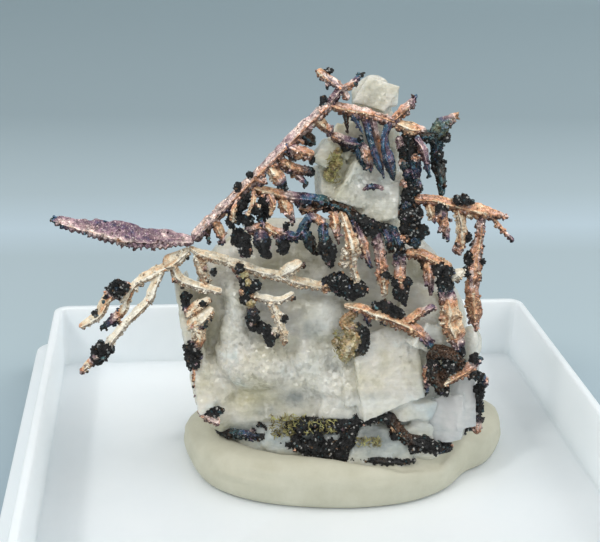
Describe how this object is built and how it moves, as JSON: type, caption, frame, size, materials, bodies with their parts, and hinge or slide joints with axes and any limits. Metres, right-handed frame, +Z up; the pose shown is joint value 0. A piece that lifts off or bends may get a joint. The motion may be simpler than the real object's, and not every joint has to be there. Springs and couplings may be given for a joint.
{
  "type": "native silver specimen on calcite in a box base",
  "caption": "Branching native silver with dark crust on pale calcite, seated in putty in the open white base of a mineral display box.",
  "frame": {"origin": "middle of the underside of the box base", "axes": "+Z up, +X to the right of someone facing the specimen's front, +Y to its back"},
  "size_m": [0.06, 0.06, 0.0411],
  "materials": {
    "white_plastic": "smooth moulded white polystyrene",
    "putty": "dull cream modelling putty with finger marks",
    "calcite": "milky translucent calcite with cleavage faces",
    "silver": "native silver with champagne, copper and violet tarnish",
    "tarnished_silver": "native silver darkened to brown, blue and black",
    "black_crust": "granular black sulphide crust"
  },
  "bodies": {
    "root": {"box_base": "white_plastic", "putty": "putty", "calcite_matrix": "calcite", "calcite_crest": "calcite", "base_crust": "black_crust", "silver_trunk": "silver", "silver_blade": "silver", "silver_crown": "silver", "silver_top_arm": "silver", "silver_inner_arm": "silver", "silver_middle_arm": "silver", "silver_left_fringe": "tarnished_silver", "silver_right_fringe": "silver", "silver_column": "tarnished_silver", "silver_feather": "tarnished_silver", "silver_right_arm": "silver", "silver_lower_arm": "silver", "silver_spine": "silver", "silver_fingers": "silver", "silver_edge_cluster": "silver", "silver_centre_lumps": "tarnished_silver", "silver_cross_arm": "silver", "silver_fern": "silver", "silver_tangle": "tarnished_silver", "silver_right_edge": "tarnished_silver"}
  },
  "joints": []
}
